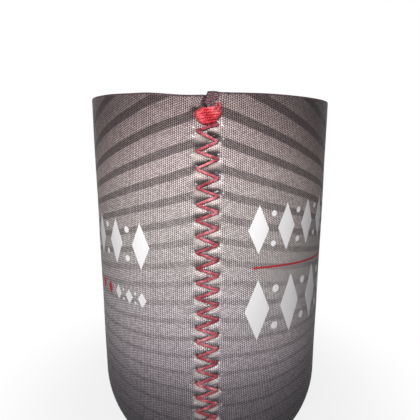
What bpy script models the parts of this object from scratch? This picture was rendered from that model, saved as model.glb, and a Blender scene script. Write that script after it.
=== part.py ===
"""Can cooler sleeve: two foam laminate panels, butted and zigzag stitched into a tube, on a glued base.

Metres, +Z up. The origin is the bottom centre of the sleeve, which stands upright and open at the top.
The front seam faces -Y, the back seam faces +Y, and a panel lies on each side.
"""

import math

import bmesh
import bpy

# The tube and its foot
HEIGHT = 0.1035
OUTER_RADIUS = 0.0369
WALL = 0.0037
RIM_ROUND = 0.0008
BEND_RADIUS = 0.030
BEND_HEIGHT = 0.015

# The base, cut from the same laminate and glued inside the foot
BASE_THICKNESS = 0.0037
GLUE_LINE = 0.0003
BASE_EDGE_ROUND = 0.0005

# The butted seam, where the stitches pinch both faces of the wall
SEAM_GAP = 0.0003
OUTER_DIP = 0.0011
INNER_DIP = 0.0005
DIP_REACH = 0.0045

# The panels were joined slightly out of step, so at the front the left corner sits low and the right one high
LEFT_CORNER_LIFT = -0.00055
RIGHT_CORNER_LIFT = 0.00045
CORNER_REACH = 0.008

# Thread of the zigzag seams: its width and pitch are taken along the thread's centre line, and a small gap
# is left between the two sides of each turn
THREAD_RADIUS = 0.0003
THREAD_CLEARANCE = 0.0003
TURN_ANGLE = math.radians(60)
TURN_GAP = 0.0001
STITCH_WIDTH = 0.0051
STITCH_PITCH = 0.0042
STITCH_TURN = (THREAD_RADIUS + TURN_GAP / 2) / math.sin(TURN_ANGLE)
FOOT_MARGIN = 0.003

# Bar tack across the top of each seam
TACK_TOP = 0.0032
TACK_STRANDS = 8
TACK_WIDTH = 0.0064
TACK_TAPER = 0.25
TACK_THREAD_RADIUS = 0.0002
TACK_STEP = 2 * TACK_THREAD_RADIUS + TURN_GAP
TACK_TURN = TACK_STEP / 2 / math.sin(TURN_ANGLE)
TACK_TO_STITCHES = 0.0015

# Facets
DIP_STEPS = 7
PANEL_STEPS = 28
BEND_STEPS = 6
ROUND_STEPS = 3
BASE_STEPS = 60
BASE_EDGE_STEPS = 4
THREAD_BEVEL_RESOLUTION = 1

# Colours, as 8-bit sRGB values
KNIT_GREY = (124, 115, 111)
FOAM_BLACK = (38, 37, 39)
THREAD_RED = (196, 62, 66)


def linear(colour):
    """Turn an 8-bit sRGB colour into the linear values that a shader takes."""
    channels = []
    for value in colour:
        share = value / 255
        channels.append(share / 12.92 if share <= 0.04045 else ((share + 0.055) / 1.055) ** 2.4)
    return (*channels, 1.0)


def make_material(name, colour, roughness):
    material = bpy.data.materials.new(name)
    material.use_nodes = True
    shader = material.node_tree.nodes["Principled BSDF"]
    shader.inputs["Base Color"].default_value = linear(colour)
    shader.inputs["Roughness"].default_value = roughness
    shader.inputs["Metallic"].default_value = 0.0
    return material


def add_object(name, data, material, parent, turn=0.0):
    """Link an object under the sleeve's empty, turned about the sleeve's axis."""
    item = bpy.data.objects.new(name, data)
    item.rotation_euler.z = turn
    item.parent = parent
    data.materials.append(material)
    bpy.context.collection.objects.link(item)
    return item


def mesh_from(bm, name, sharp_angle):
    """Close a bmesh into a smooth-shaded mesh whose faces point out."""
    bmesh.ops.recalc_face_normals(bm, faces=bm.faces)
    mesh = bpy.data.meshes.new(name)
    bm.to_mesh(mesh)
    bm.free()
    mesh.shade_smooth()
    mesh.set_sharp_from_angle(angle=sharp_angle)
    return mesh


def dip(distance, depth):
    """Depth that the seam pinches a face to, at a distance from the butt line."""
    share = max(0.0, 1 - distance / DIP_REACH)
    return depth * share ** 2


def foot_run():
    """Run down the outer face, from the rim to the edge that rests."""
    return HEIGHT - BEND_HEIGHT + BEND_RADIUS * math.asin(BEND_HEIGHT / BEND_RADIUS)


def wall_point(run, inset):
    """Radius and height at a run down the outer face, inset towards the sleeve's axis."""
    straight = HEIGHT - BEND_HEIGHT
    if run <= straight:
        return OUTER_RADIUS - inset, HEIGHT - run
    turn = (run - straight) / BEND_RADIUS
    reach = BEND_RADIUS - inset
    radius = OUTER_RADIUS - BEND_RADIUS + reach * math.cos(turn)
    return radius, BEND_HEIGHT - reach * math.sin(turn)


def foot_arc(inset):
    """The wall's curve from the top of the bend to the resting plane, as radii and heights."""
    reach = BEND_RADIUS - inset
    last_turn = math.asin(BEND_HEIGHT / reach)
    points = []
    for step in range(BEND_STEPS + 1):
        turn = last_turn * step / BEND_STEPS
        radius = OUTER_RADIUS - BEND_RADIUS + reach * math.cos(turn)
        points.append((radius, BEND_HEIGHT - reach * math.sin(turn)))
    return points


def rim_round(face_radius, rim_height, outward):
    """Quarter round from the rim's top to one of the wall's faces."""
    points = []
    for step in range(ROUND_STEPS + 1):
        turn = math.pi / 2 * step / ROUND_STEPS
        radius = face_radius - outward * RIM_ROUND * (1 - math.sin(turn))
        points.append((radius, rim_height - RIM_ROUND * (1 - math.cos(turn))))
    return points


def wall_section(outer_inset, inner_inset, rim_height):
    """Closed outline of the wall's cut section, as radii and heights."""
    outer = rim_round(OUTER_RADIUS - outer_inset, rim_height, 1) + foot_arc(outer_inset)
    inner = rim_round(OUTER_RADIUS - inner_inset, rim_height, -1) + foot_arc(inner_inset)
    return outer + inner[::-1]


def panel_stations():
    """Angles from the front seam to the back seam, closer together where the seams dip."""
    first = SEAM_GAP / 2 / OUTER_RADIUS
    reach = DIP_REACH / OUTER_RADIUS
    near = [first + (reach - first) * step / DIP_STEPS for step in range(DIP_STEPS)]
    middle = [reach + (math.pi - 2 * reach) * step / PANEL_STEPS for step in range(PANEL_STEPS + 1)]
    return near + middle + [math.pi - angle for angle in reversed(near)]


def panel_mesh(name, side, corner_lift):
    """Loft the wall's section round one side of the sleeve: side is 1 for +X and -1 for -X."""
    bm = bmesh.new()
    rings = []
    for angle in panel_stations():
        from_front = angle * OUTER_RADIUS
        from_seam = min(from_front, math.pi * OUTER_RADIUS - from_front)
        lift = corner_lift * max(0.0, 1 - from_front / CORNER_REACH) ** 2
        section = wall_section(dip(from_seam, OUTER_DIP), WALL - dip(from_seam, INNER_DIP), HEIGHT + lift)
        ring = []
        for radius, height in section:
            position = (side * radius * math.sin(angle), -radius * math.cos(angle), height)
            ring.append(bm.verts.new(position))
        rings.append(ring)
    for ring, following in zip(rings, rings[1:]):
        for corner in range(len(ring)):
            before = corner - 1
            bm.faces.new((ring[before], ring[corner], following[corner], following[before]))
    bm.faces.new(rings[0])
    bm.faces.new(rings[-1])
    return mesh_from(bm, name, math.radians(50))


def base_edge_radius(height):
    """Radius of the base at a height, a glue line inside the wall's curved inner face."""
    reach = BEND_RADIUS - WALL - GLUE_LINE
    return OUTER_RADIUS - BEND_RADIUS + math.sqrt(reach ** 2 - (BEND_HEIGHT - height) ** 2)


def base_mesh():
    """Turn the base's half section: flat faces, an edge that follows the wall and a small top round."""
    outline = [(0.0, 0.0)]
    edge_top = BASE_THICKNESS - BASE_EDGE_ROUND
    for step in range(BASE_EDGE_STEPS + 1):
        height = edge_top * step / BASE_EDGE_STEPS
        outline.append((base_edge_radius(height), height))
    for step in range(1, ROUND_STEPS + 1):
        turn = math.pi / 2 * step / ROUND_STEPS
        radius = base_edge_radius(edge_top) - BASE_EDGE_ROUND * (1 - math.cos(turn))
        outline.append((radius, edge_top + BASE_EDGE_ROUND * math.sin(turn)))
    outline.append((0.0, BASE_THICKNESS))
    bm = bmesh.new()
    verts = [bm.verts.new((radius, 0.0, height)) for radius, height in outline]
    edges = [bm.edges.new(pair) for pair in zip(verts, verts[1:])]
    bmesh.ops.spin(bm, geom=verts + edges, cent=(0, 0, 0), axis=(0, 0, 1), angle=2 * math.pi,
                   steps=BASE_STEPS, use_merge=True)
    bmesh.ops.remove_doubles(bm, verts=bm.verts, dist=0.000001)
    return mesh_from(bm, "base_disc", math.radians(40))


def zigzag(first_run, step, half_widths, turn_radius, inset):
    """Thread path that crosses the seam once for each half width, with a round turn at each end."""
    points = []
    for index, half_width in enumerate(half_widths):
        side = 1 if index % 2 else -1
        for turn in (-TURN_ANGLE, 0.0, TURN_ANGLE):
            across = side * (half_width - turn_radius * (1 - math.cos(turn)))
            radius, height = wall_point(first_run + index * step + turn_radius * math.sin(turn), inset)
            angle = across / OUTER_RADIUS
            points.append((radius * math.sin(angle), -radius * math.cos(angle), height))
    return points


def thread_curve(name, points, radius):
    """A round thread along the points, closed at both ends."""
    curve = bpy.data.curves.new(name, "CURVE")
    curve.dimensions = "3D"
    curve.bevel_depth = radius
    curve.bevel_resolution = THREAD_BEVEL_RESOLUTION
    curve.use_fill_caps = True
    spline = curve.splines.new("POLY")
    spline.points.add(len(points) - 1)
    for point, position in zip(spline.points, points):
        point.co = (*position, 1.0)
    return curve


def stitch_path(inset):
    """Zigzag from just under the bar tack to just above the foot, inset from the outer face."""
    first_run = TACK_TOP + TACK_STRANDS * TACK_STEP + TACK_TO_STITCHES
    last_run = foot_run() - FOOT_MARGIN
    strokes = math.floor((last_run - first_run) / (STITCH_PITCH / 2))
    half_widths = [STITCH_WIDTH / 2] * (strokes + 1)
    return zigzag(first_run, STITCH_PITCH / 2, half_widths, STITCH_TURN, inset)


def needle_inset():
    """Where the outer thread's centre line lies: clear of the outer face at the needle holes."""
    return dip(STITCH_WIDTH / 2, OUTER_DIP) - THREAD_CLEARANCE - THREAD_RADIUS


def bobbin_inset():
    """Where the inner thread's centre line lies: clear of the inner face at the needle holes."""
    return WALL - dip(STITCH_WIDTH / 2, INNER_DIP) + THREAD_CLEARANCE + THREAD_RADIUS


def tack_path():
    """Close strands across the seam, shorter at the top and bottom of the tack."""
    half_widths = []
    for strand in range(TACK_STRANDS + 1):
        from_middle = abs(2 * strand / TACK_STRANDS - 1)
        half_widths.append(TACK_WIDTH / 2 * (1 - TACK_TAPER * from_middle ** 2))
    inset = dip(TACK_WIDTH / 2, OUTER_DIP) - THREAD_CLEARANCE - TACK_THREAD_RADIUS
    return zigzag(TACK_TOP, TACK_STEP, half_widths, TACK_TURN, inset)


def build_panels(sleeve, material):
    add_object("panel_left", panel_mesh("panel_left", -1, LEFT_CORNER_LIFT), material, sleeve)
    add_object("panel_right", panel_mesh("panel_right", 1, RIGHT_CORNER_LIFT), material, sleeve)


def build_base(sleeve, material):
    add_object("base_disc", base_mesh(), material, sleeve)


def build_seam(sleeve, material, place, turn):
    """The threads of one seam, turned about the sleeve's axis from the front to their place."""
    needle = thread_curve("needle_thread", stitch_path(needle_inset()), THREAD_RADIUS)
    bobbin = thread_curve("bobbin_thread", stitch_path(bobbin_inset()), THREAD_RADIUS)
    tack = thread_curve("bar_tack", tack_path(), TACK_THREAD_RADIUS)
    add_object(place + "_needle_thread", needle, material, sleeve, turn)
    add_object(place + "_bobbin_thread", bobbin, material, sleeve, turn)
    add_object(place + "_bar_tack", tack, material, sleeve, turn)


def main():
    for item in list(bpy.data.objects):
        bpy.data.objects.remove(item)
    sleeve = bpy.data.objects.new("sleeve", None)
    bpy.context.collection.objects.link(sleeve)
    knit = make_material("knit_faced_foam", KNIT_GREY, 0.9)
    foam = make_material("base_foam", FOAM_BLACK, 0.95)
    thread = make_material("seam_thread", THREAD_RED, 0.6)
    build_panels(sleeve, knit)
    build_base(sleeve, foam)
    build_seam(sleeve, thread, "front", 0.0)
    build_seam(sleeve, thread, "back", math.pi)


main()
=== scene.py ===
"""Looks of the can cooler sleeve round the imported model: knit, print, foam, stitches, stage and camera.

Metres, +Z up, with the front seam at -Y. A place on the wall is written as across, the distance round the
sleeve from a seam, and run, the distance down the outer face from the rim. An inset is a depth into the
wall. Knit and print are laid out on the flat cloth, in millimetres across and in height above its foot.
"""

import math

import bpy
import numpy as np
from mathutils import Matrix, Vector


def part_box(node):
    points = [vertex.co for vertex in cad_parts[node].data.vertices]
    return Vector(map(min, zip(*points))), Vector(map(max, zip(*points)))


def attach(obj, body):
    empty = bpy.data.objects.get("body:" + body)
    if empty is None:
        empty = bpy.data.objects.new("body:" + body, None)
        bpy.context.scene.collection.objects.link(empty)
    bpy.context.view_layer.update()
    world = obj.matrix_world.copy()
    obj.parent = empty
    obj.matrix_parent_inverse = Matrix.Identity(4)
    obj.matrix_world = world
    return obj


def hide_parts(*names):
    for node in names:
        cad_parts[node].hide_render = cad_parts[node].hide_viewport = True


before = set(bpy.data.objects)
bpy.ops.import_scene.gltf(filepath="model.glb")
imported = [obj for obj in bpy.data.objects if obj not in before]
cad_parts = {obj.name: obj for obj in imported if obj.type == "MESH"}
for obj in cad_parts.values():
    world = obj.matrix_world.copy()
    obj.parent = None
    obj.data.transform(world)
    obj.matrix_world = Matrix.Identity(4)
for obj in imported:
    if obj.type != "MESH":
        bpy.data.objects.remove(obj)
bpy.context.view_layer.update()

MM = 0.001

# The wall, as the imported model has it
OUTER_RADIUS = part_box("panel_right")[1][0]
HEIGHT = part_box("panel_left")[1][2]
WALL = 3.7 * MM
BEND_RADIUS = 30.0 * MM
BEND_HEIGHT = 15.0 * MM
INNER_DIP = 0.5 * MM
DIP_REACH = 4.5 * MM
STRAIGHT = HEIGHT - BEND_HEIGHT
HALF_TURN = math.pi * OUTER_RADIUS
CLOTH_HEIGHT = HEIGHT / MM
CLOTH_MIDDLE = HALF_TURN / 2 / MM

# The stitches: their zigzag, how it strays down the seam, and the steps of the first ones under the tack
STITCH_WIDTH = 5.1 * MM
STITCH_PITCH = 4.16 * MM
STITCH_DRIFT = 0.10 * MM
STITCH_SPREAD, SPREAD_RUN = 0.32 * MM, (10 * MM, 35 * MM)
STITCH_STRAY, STRAY_RUN = 0.22 * MM, (45 * MM, 75 * MM)
STITCH_LEAD, LEAD_RUN = 0.35 * MM, (36 * MM, 48 * MM)
FIRST_STITCH = 7.2 * MM
FIRST_STEPS = (1.6 * MM, 2.6 * MM, 2.2 * MM, 2.1 * MM, 2.2 * MM, 2.3 * MM, 2.3 * MM)
FOOT_MARGIN = 3.0 * MM
TACK_TOP = 3.55 * MM
TACK_HEIGHT = 3.5 * MM
TACK_WIDTH = 6.7 * MM

# Threads: plies of a few sides each, at a share of the thread's radius from its centre line
THREAD_RADIUS = 0.37 * MM
TWIST_PITCH = 1.5 * MM
TWIST_STEP = 0.16 * MM
CURVE_STEPS = 8
ANY_DIRECTION = (0.3, 0.2, 1.0)
PLIES = 3
PLY_SIDES = 6
PLY_OFFSET = 0.48
PLY_RADIUS = 0.54

# How the outer face sinks or rises beside the stitches: depth or height, and reach
VALLEY_DEPTH = 0.8 * MM
GROOVE_DEPTH, GROOVE_REACH = 0.40 * MM, 0.40 * MM
DIMPLE_DEPTH, DIMPLE_REACH = 0.60 * MM, 0.55 * MM
PULL_DEPTH, PULL_REACH = 0.45 * MM, 1.4 * MM
OPENED_REACH = 1.6 * MM
PUCKER_DEPTH, PUCKER_PLACE, PUCKER_REACH = 0.14 * MM, 3.6 * MM, 1.6 * MM
PUFF_HEIGHT, PUFF_PLACE, PUFF_REACH = 1.05 * MM, 0.9 * MM, 2.1 * MM
PUFF_RISE = (0.12 * MM, 1.05 * MM)
PUFF_DROP = 0.3 * MM
SEWN_START = (TACK_TOP + TACK_HEIGHT - 0.5 * MM, TACK_TOP + TACK_HEIGHT + 0.8 * MM)
SEWN_END = (-1.0 * MM, 2.0 * MM)

# The space between a stitch and the one above it: its hollow and its puff, as levels from 0 to 1, and the
# shares along the stitch between which they fade in and out
HOLLOW_DEPTH = 0.45 * MM
HOLLOW_LEVEL = 0.27
PUFF_LEVEL = 0.78
LEVEL_REACH = 0.25
SPACE_FADE_IN = (0.15, 0.70)
SPACE_FADE_OUT = (0.95, 1.25)
LEAST_OPENING = 0.2
# How much the painted shade in the hollows weakens down the seam, and over which run
FOLD_SHADE_LOSS, FOLD_SHADE_LOSS_RUN = 0.65, (12 * MM, 45 * MM)

# The bar tack's pinch, and the crease above its left end
PINCH_DEPTH, PINCH_REACH = 0.55 * MM, 0.8 * MM
BED_DEPTH = 0.3 * MM
PINCH_SPAN = 0.75
CREASE_DEPTH = 0.7 * MM
CREASE_ACROSS, CREASE_REACH_ACROSS = -2.8 * MM, 1.5 * MM
CREASE_ABOVE, CREASE_REACH_ABOVE = 0.2 * MM, 0.7 * MM

# The turned out corners above the bar tack, the left one first, and how the butt line leans between them
RAW_WIDTHS = (0.8 * MM, 3.9 * MM)
RAW_DEPTHS = (0.9 * MM, 1.5 * MM)
RAW_RISE = 0.8
RAW_TAPER = 0.35
RAW_BULGE, BULGE_PLACE, BULGE_REACH = 0.35 * MM, 0.5 * MM, 0.8 * MM
LEAN, LEAN_REACH, LEAN_SKEW = 1.0 * MM, 2.6 * MM, 1.5

# Unevenness of the foam wall: two waves, with their lengths across and down and their turn from panel to
# panel, and the roughness of cut foam
SLOW_WAVE, SLOW_LENGTHS, SLOW_TURNS = 0.09 * MM, (9.3 * MM, 14.0 * MM), (1.7, 0.6)
QUICK_WAVE, QUICK_LENGTHS = 0.035 * MM, (3.1 * MM, 4.7 * MM)
WAVE_FADE = 6 * MM
FOAM_ROUGHNESS = 0.03 * MM
RIM_ROUGHNESS = 0.05 * MM

# The rim's rises and dips: height, and the distances from the front seam between which each comes or goes
RIM_BACK = (60 * MM, 110 * MM)
LEFT_DROP, LEFT_LIFT, LEFT_CLIMB = 0.55 * MM, 0.3 * MM, (4 * MM, 17 * MM)
LEFT_SIDE_LIFT, LEFT_SIDE = 0.25 * MM, (18 * MM, 30 * MM)
RIGHT_LIFT, RIGHT_CORNER = 0.42 * MM, (1.2 * MM, 4.0 * MM)
RIGHT_DIP, RIGHT_SIDE = 0.4 * MM, (10 * MM, 38 * MM)
RIM_RISE_RUN = 22 * MM

# Panel mesh
EDGE_GAP = 0.04 * MM
FINE_STEP = 0.26 * MM
FINE_REACH = 7.5 * MM
COARSE_STEP = 1.6 * MM
OUTER_STEP = 0.3 * MM
INNER_STEP = 0.6 * MM
LIP = 0.55 * MM
FOOT_LIP = 0.1 * MM
SEAM_REACH = DIP_REACH + 4 * MM
PANEL_SEED = 3

# Shares of the wall's depth between which the cut foam is rough, and between which it shows at the foot
ROUGH_FOAM = (0.13, 0.87)
FOOT_FOAM = (0.1, 0.9)

# Camera
CAMERA_DISTANCE = 0.1303
CAMERA_HEIGHT = 0.0945
CAMERA_PITCH = math.radians(11.5)
CAMERA_TURN = math.radians(1.0)
CAMERA_LENS = 33.07


def smooth(low, high, value):
    """Smooth step from 0 at low to 1 at high."""
    share = np.clip((value - low) / (high - low), 0, 1)
    return share * share * (3 - 2 * share)


def bell(value, reach):
    return np.exp(-(value / reach) ** 2)


def foot_turn(inset):
    """Turn round the foot's curve at which a face reaches the floor."""
    return np.arcsin(BEND_HEIGHT / (BEND_RADIUS - inset))


def foot_run():
    return STRAIGHT + BEND_RADIUS * foot_turn(0.0)


def wall_place(angle, run, inset):
    """Points of the wall at an angle round the sleeve, a run down the outer face and an inset."""
    turn = np.maximum(run - STRAIGHT, 0) / BEND_RADIUS
    reach = BEND_RADIUS - inset
    radius = OUTER_RADIUS - BEND_RADIUS + reach * np.cos(turn)
    height = np.where(run < STRAIGHT, HEIGHT - run, BEND_HEIGHT - reach * np.sin(turn))
    return np.stack([radius * np.sin(angle), -radius * np.cos(angle), height], axis=-1)


def stitch_holes(seed):
    """Needle holes of one seam, as (across, run), from the bar tack down to the foot."""
    rng = np.random.default_rng(seed)
    holes = []
    run = FIRST_STITCH
    side = 1
    while run < foot_run() - FOOT_MARGIN:
        spread = STITCH_SPREAD * smooth(*SPREAD_RUN, run)
        across = side * (STITCH_WIDTH / 2 + rng.normal(0, STITCH_DRIFT) + spread)
        across -= STITCH_STRAY * smooth(*STRAY_RUN, run)
        lead = STITCH_LEAD * smooth(*LEAD_RUN, run) if side > 0 else 0.0
        holes.append((across, run + rng.normal(0, STITCH_DRIFT) - lead))
        run += FIRST_STEPS[len(holes) - 1] if len(holes) <= len(FIRST_STEPS) else STITCH_PITCH / 2
        side = -side
    return np.array(holes)


def distance_to_stitches(across, run, holes):
    """Distance from each point to the nearest stitch, and to the nearest needle hole."""
    to_stitch = np.full(across.shape, 1.0)
    for start, end in zip(holes[:-1], holes[1:]):
        step = end - start
        share = ((across - start[0]) * step[0] + (run - start[1]) * step[1]) / (step @ step)
        share = np.clip(share, 0, 1)
        gap = np.hypot(across - start[0] - share * step[0], run - start[1] - share * step[1])
        to_stitch = np.minimum(to_stitch, gap)
    to_hole = np.full(across.shape, 1.0)
    for hole in holes:
        to_hole = np.minimum(to_hole, np.hypot(across - hole[0], run - hole[1]))
    return to_stitch, to_hole


def between_stitches(across, run, holes, level):
    """Share of a patch between each stitch and the one above it, at a level from 0 at the lower one."""
    most = np.zeros_like(across)
    for before, start, end in zip(holes[:-2], holes[1:-1], holes[2:]):
        share = (across - start[0]) / (end[0] - start[0])
        above = start[1] + share * (end[1] - start[1]) - run
        opening = np.maximum(share, LEAST_OPENING) * (end[1] - before[1])
        weight = smooth(*SPACE_FADE_IN, share) * (1 - smooth(*SPACE_FADE_OUT, share))
        most = np.maximum(most, weight * bell(above / opening - level, LEVEL_REACH))
    return most


def hollows(across, run, holes):
    """Share of a hollow above each stitch, near its lower end, where the knit folds in under a puff."""
    return between_stitches(across, run, holes, HOLLOW_LEVEL)


def seam_relief(across, run, holes):
    """How far the outer face sinks near a seam: the valley, the stitches' grooves, holes and puffs."""
    away = np.abs(across)
    to_stitch, to_hole = distance_to_stitches(across, run, holes)
    above_stitch = distance_to_stitches(across, run - PUFF_DROP, holes)[0]
    valley = VALLEY_DEPTH * np.clip(1 - away / DIP_REACH, 0, 1) ** 2
    groove = GROOVE_DEPTH * bell(to_stitch, GROOVE_REACH)
    dimple = DIMPLE_DEPTH * bell(to_hole, DIMPLE_REACH)
    pull = PULL_DEPTH * bell(to_hole, PULL_REACH)
    puff = PUFF_HEIGHT * smooth(*PUFF_RISE, above_stitch) * bell(away - PUFF_PLACE, PUFF_REACH)
    puff = puff - HOLLOW_DEPTH * hollows(across, run, holes)
    pucker = PUCKER_DEPTH * np.cos(2 * math.pi * (run - holes[1][1]) / STITCH_PITCH) * np.sign(across)
    pucker = pucker * bell(away - PUCKER_PLACE, PUCKER_REACH)
    last = holes[-1][1]
    sewn = smooth(*SEWN_START, run) * (1 - smooth(last + SEWN_END[0], last + SEWN_END[1], run))
    return valley + (groove + dimple + pull - puff + pucker) * sewn + tack_relief(across, run)


def tack_relief(across, run):
    """The bar tack pinches the wall, and above it the corners turn out so that their cut edges show."""
    away = np.abs(across)
    middle = TACK_TOP + TACK_HEIGHT / 2
    beside = bell(run - middle, PINCH_SPAN * TACK_HEIGHT)
    pinch = PINCH_DEPTH * bell(away - TACK_WIDTH / 2, PINCH_REACH) + BED_DEPTH * bell(away, TACK_WIDTH / 2)
    crease = CREASE_DEPTH * tack_crease(across, run)
    return pinch * beside + crease + raw_corner(across, run)[1]


def tack_crease(across, run):
    """Share of the crease above the bar tack's left end."""
    beside = bell(across - CREASE_ACROSS, CREASE_REACH_ACROSS)
    return bell(run - TACK_TOP + CREASE_ABOVE, CREASE_REACH_ABOVE) * beside


def raw_corner(across, run):
    """Share of a corner that shows cut foam above the bar tack, and how deep it slopes back there."""
    above = np.clip(1 - run / TACK_TOP, 0, 1) ** RAW_RISE
    width = np.where(across > 0, RAW_WIDTHS[1], RAW_WIDTHS[0]) * above ** RAW_TAPER + 0.01 * MM
    depth = np.where(across > 0, RAW_DEPTHS[1], RAW_DEPTHS[0]) * above
    share = np.clip(1 - np.abs(across) / width, 0, 1)
    bulge = RAW_BULGE * bell(np.abs(across) - width - BULGE_PLACE, BULGE_REACH) * above
    return share, depth * share - bulge


def butt_lean(across, run):
    """The butt line leans to the left between the bar tack and the rim."""
    share = np.clip(run / TACK_TOP, 0, 1)
    return -LEAN * np.sin(math.pi * share ** LEAN_SKEW) * bell(across, LEAN_REACH)


def waviness(across, run, side):
    """Slow unevenness of the foam wall."""
    slow = SLOW_WAVE * np.sin(across / SLOW_LENGTHS[0] + SLOW_TURNS[0] * side)
    slow = slow * np.cos(run / SLOW_LENGTHS[1] + SLOW_TURNS[1] * side)
    quick = QUICK_WAVE * np.sin(across / QUICK_LENGTHS[0] + run / QUICK_LENGTHS[1] + side)
    return (slow + quick) * smooth(0, WAVE_FADE, across) * smooth(0, WAVE_FADE, HALF_TURN - across)


def rim_rise(across, side):
    """How much higher than the mean the rim stands, on the left panel (-1) or the right one (1)."""
    back = 1 - smooth(*RIM_BACK, across)
    if side < 0:
        climb = smooth(*LEFT_CLIMB, across)
        front = -LEFT_DROP * (1 - climb) + LEFT_LIFT * climb
        return (front + LEFT_SIDE_LIFT * smooth(*LEFT_SIDE, across)) * back
    corner = RIGHT_LIFT * (1 - smooth(*RIGHT_CORNER, across))
    return corner - RIGHT_DIP * smooth(*RIGHT_SIDE, across) * back


def panel_columns():
    """Distances round the sleeve from the front seam to the back one, closer together at the seams."""
    first = EDGE_GAP / 2
    fine = np.arange(first, FINE_REACH, FINE_STEP)
    count = round((HALF_TURN - 2 * FINE_REACH) / COARSE_STEP)
    middle = np.linspace(FINE_REACH, HALF_TURN - FINE_REACH, count + 1)
    return np.concatenate([fine, middle, (HALF_TURN - fine)[::-1]])


# The cut edge at the rim, from the outer face to the lining, as (run, share of the wall's depth, layer).
# Layers: 0 is the knit face, 1 the foam and 2 the lining.
RIM_EDGE = (
    (0.32 * MM, 0.004, 0), (0.12 * MM, 0.02, 1), (0.0, 0.07, 1), (0.05 * MM, 0.125, 1),
    (0.17 * MM, 0.16, 1), (0.12 * MM, 0.28, 1), (0.07 * MM, 0.42, 1), (0.05 * MM, 0.56, 1),
    (0.09 * MM, 0.70, 1), (0.17 * MM, 0.83, 1), (0.06 * MM, 0.87, 2), (0.0, 0.92, 2),
    (0.10 * MM, 0.97, 2), (0.30 * MM, 0.996, 2),
)
FOOT_SHARES = (0.03, 0.10, 0.20, 0.35, 0.50, 0.65, 0.80, 0.90, 0.97)


def section_rows():
    """Points round the wall's cut section, as (run, share of depth, layer), from the outer face inwards."""
    outer = [(run, 0.0, 0) for run in np.arange(LIP, foot_run() - FOOT_LIP, OUTER_STEP)]
    inner_foot = STRAIGHT + BEND_RADIUS * float(foot_turn(WALL))
    inner = [(run, 1.0, 2) for run in np.arange(LIP, inner_foot - FOOT_LIP, INNER_STEP)]
    start, end = FOOT_FOAM
    foot = [(None, share, 0 if share < start else 1 if share < end else 2) for share in FOOT_SHARES]
    return outer + foot + inner[::-1] + list(RIM_EDGE)[::-1]


def panel_points(side, front_holes, back_holes):
    """Points of one panel, column by column, its flat cloth coordinates in mm and its cloth's state.

    The state is how hard the stitches pull the knit open at a point, the share of cut foam that shows
    there, how much painted shade darkens the knit in the hollows above the stitches and in the crease
    above the bar tack, and how much painted highlight lights the upper part of each puff.
    """
    rng = np.random.default_rng(PANEL_SEED + side)
    columns = panel_columns()
    rows = section_rows()
    run = np.array([foot_run() if row[0] is None else row[0] for row in rows])
    at_foot = np.array([row[0] is None for row in rows])
    a, r = np.meshgrid(columns, run, indexing="ij")
    depth = np.broadcast_to(np.array([row[1] for row in rows]), a.shape)
    outer = waviness(a, r, side)
    inner_dip = np.zeros_like(a)
    pull, raw, painted_fold_shade, puff = (np.zeros_like(a) for _ in range(4))
    for centre, holes, flip in ((0.0, front_holes, side), (HALF_TURN, back_holes, -side)):
        near = np.abs(a[:, 0] - centre) < SEAM_REACH
        local = flip * np.abs(a[near] - centre)
        outer[near] += seam_relief(local, r[near], holes)
        pull[near] = bell(distance_to_stitches(local, r[near], holes)[1], OPENED_REACH)
        raw[near] = raw_corner(local, r[near])[0]
        # Painted shade: how much the knit is darkened in the hollows above the stitches and in the crease
        # above the tack
        painted_fold_shade[near] = hollows(local, r[near], holes) * (1 - FOLD_SHADE_LOSS * smooth(*FOLD_SHADE_LOSS_RUN, r[near]))
        painted_fold_shade[near] = np.maximum(painted_fold_shade[near], tack_crease(local, r[near]))
        # Painted highlight: how much the upper part of each puff is made paler, as if lit
        puff[near] = between_stitches(local, r[near], holes, PUFF_LEVEL)
        inner_dip += INNER_DIP * np.clip(1 - np.abs(a - centre) / DIP_REACH, 0, 1) ** 2
    inset = outer * (1 - depth) + (WALL - inner_dip) * depth
    in_foam = (depth > ROUGH_FOAM[0]) & (depth < ROUGH_FOAM[1])
    inset = inset + in_foam * rng.normal(0, FOAM_ROUGHNESS, a.shape)
    turn_run = STRAIGHT + BEND_RADIUS * foot_turn(inset)
    lean = butt_lean(a, r) + butt_lean(HALF_TURN - a, r)
    angle = (side * a + lean) / OUTER_RADIUS
    place = wall_place(angle, np.where(at_foot, turn_run, np.minimum(r, turn_run)), inset)
    place[..., 2] += rim_rise(a, side) * (1 - smooth(0, RIM_RISE_RUN, r))
    place[..., 2] += in_foam * (r < 1 * MM) * rng.normal(0, RIM_ROUGHNESS, a.shape)
    place[..., 2] = np.maximum(place[..., 2], 0)
    cloth = np.stack([side * a / MM, (HEIGHT - r) / MM], axis=-1)
    states = {"pull": pull, "raw": raw, "painted_fold_shade": painted_fold_shade, "puff": puff}
    return place, cloth, states, np.array([row[2] for row in rows])


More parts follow.
